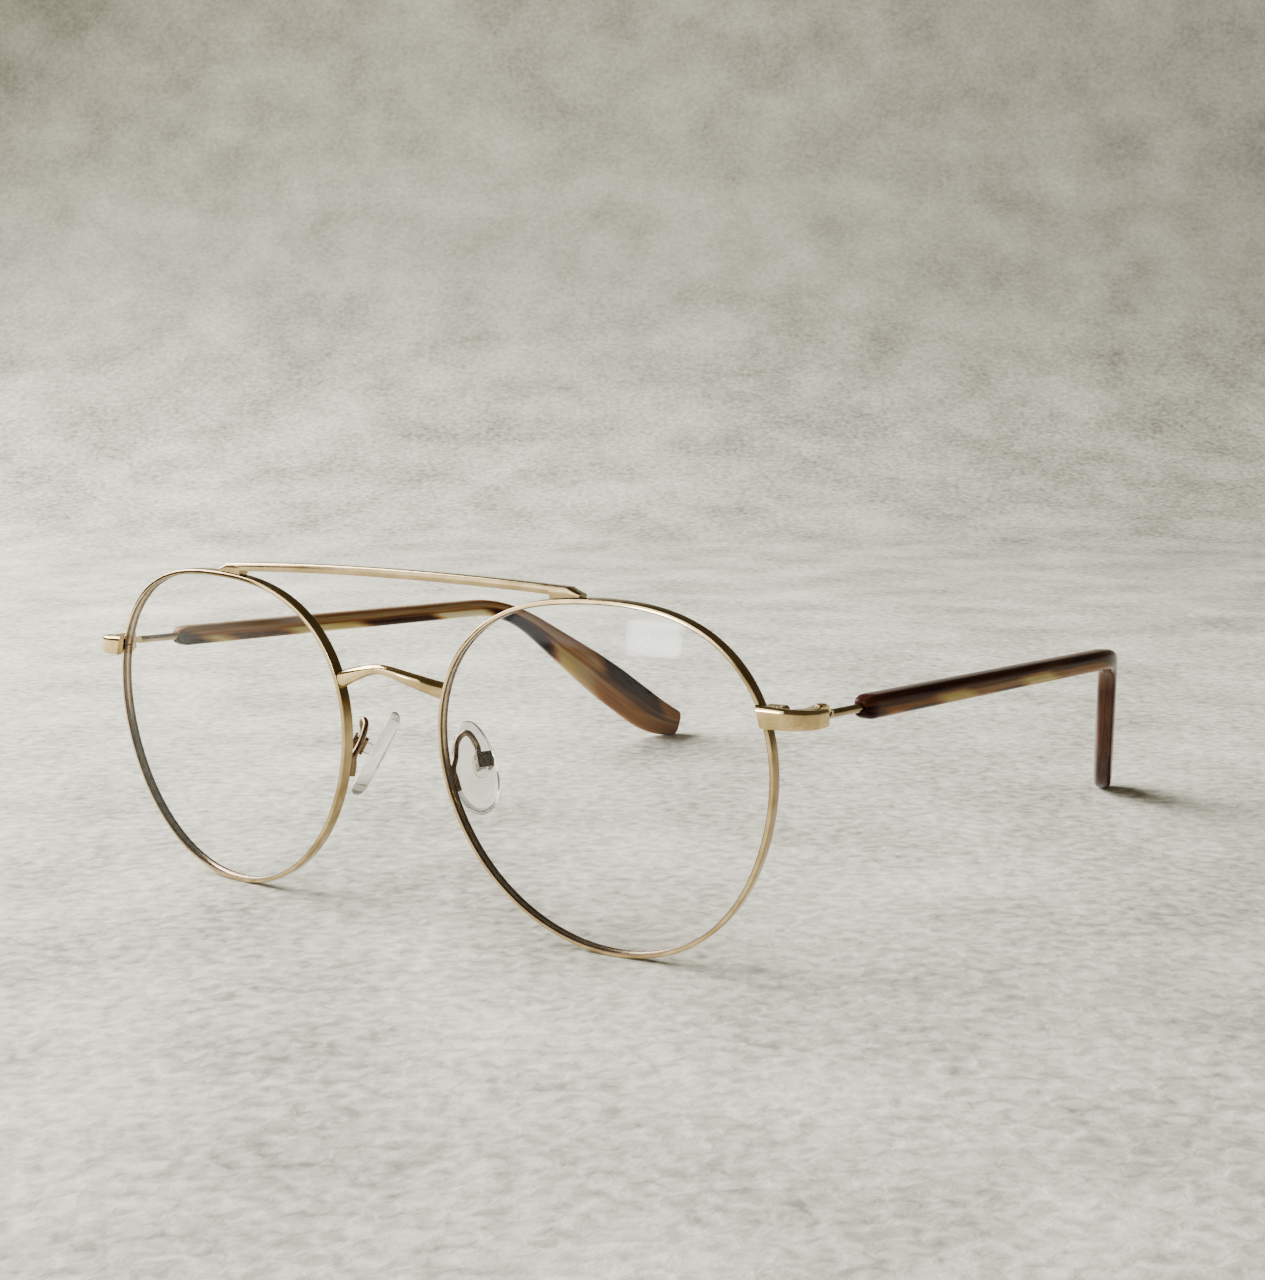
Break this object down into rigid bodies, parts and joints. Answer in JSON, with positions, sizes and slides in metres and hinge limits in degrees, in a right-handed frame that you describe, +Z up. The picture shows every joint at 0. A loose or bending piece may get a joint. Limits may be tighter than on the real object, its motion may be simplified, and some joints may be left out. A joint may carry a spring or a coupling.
{
  "type": "eyeglasses",
  "caption": "Round metal eyeglasses with a double bridge, clear lenses, adjustable nose pads and folding temples sleeved in tortoise-shell acetate.",
  "frame": {"origin": "on the floor, at the centre of the open glasses' box", "axes": "+Z up; the front faces -Y and the temples run back along +Y; +X is the wearer's left"},
  "size_m": [0.1368, 0.152, 0.0519],
  "materials": {
    "polished_gold_metal": "polished pale gold plating",
    "clear_lens": "clear polished lens",
    "clear_pad": "clear soft plastic, slightly hazy",
    "tortoise_acetate": "polished streaked brown and amber"
  },
  "bodies": {
    "front": {"bridge": "polished_gold_metal", "top_bar": "polished_gold_metal", "rim_left": "polished_gold_metal", "lens_left": "clear_lens", "endpiece_left": "polished_gold_metal", "closing_block_upper_left": "polished_gold_metal", "closing_block_lower_left": "polished_gold_metal", "closing_screw_left": "polished_gold_metal", "front_hinge_left": "polished_gold_metal", "hinge_screw_left": "polished_gold_metal", "pad_arm_left": "polished_gold_metal", "pad_box_left": "polished_gold_metal", "pad_screw_left": "polished_gold_metal", "rim_right": "polished_gold_metal", "lens_right": "clear_lens", "endpiece_right": "polished_gold_metal", "closing_block_upper_right": "polished_gold_metal", "closing_block_lower_right": "polished_gold_metal", "closing_screw_right": "polished_gold_metal", "front_hinge_right": "polished_gold_metal", "hinge_screw_right": "polished_gold_metal", "pad_arm_right": "polished_gold_metal", "pad_box_right": "polished_gold_metal", "pad_screw_right": "polished_gold_metal"},
    "temple_left": {"temple_hinge_left": "polished_gold_metal", "temple_core_left": "polished_gold_metal", "temple_sleeve_left": "tortoise_acetate"},
    "pad_left": {"nose_pad_left": "clear_pad", "pad_insert_left": "clear_pad"},
    "temple_right": {"temple_hinge_right": "polished_gold_metal", "temple_core_right": "polished_gold_metal", "temple_sleeve_right": "tortoise_acetate"},
    "pad_right": {"nose_pad_right": "clear_pad", "pad_insert_right": "clear_pad"}
  },
  "joints": [
    {"name": "temple_fold_left", "type": "hinge", "parent": "front", "child": "temple_left", "pos_m": [0.06555, -0.06423, 0.03555], "axis": [0, 0, 1], "range_deg": [0, 85]},
    {"name": "pad_rock_left", "type": "hinge", "parent": "front", "child": "pad_left", "pos_m": [0.0119, -0.06687, 0.0241], "axis": [0.5943, 0.8028, 0.0491], "range_deg": [-6, 6]},
    {"name": "temple_fold_right", "type": "hinge", "parent": "front", "child": "temple_right", "pos_m": [-0.06555, -0.06423, 0.03555], "axis": [0, 0, -1], "range_deg": [0, 72]},
    {"name": "pad_rock_right", "type": "hinge", "parent": "front", "child": "pad_right", "pos_m": [-0.0119, -0.06687, 0.0241], "axis": [0.5943, -0.8028, -0.0491], "range_deg": [-6, 6]}
  ]
}
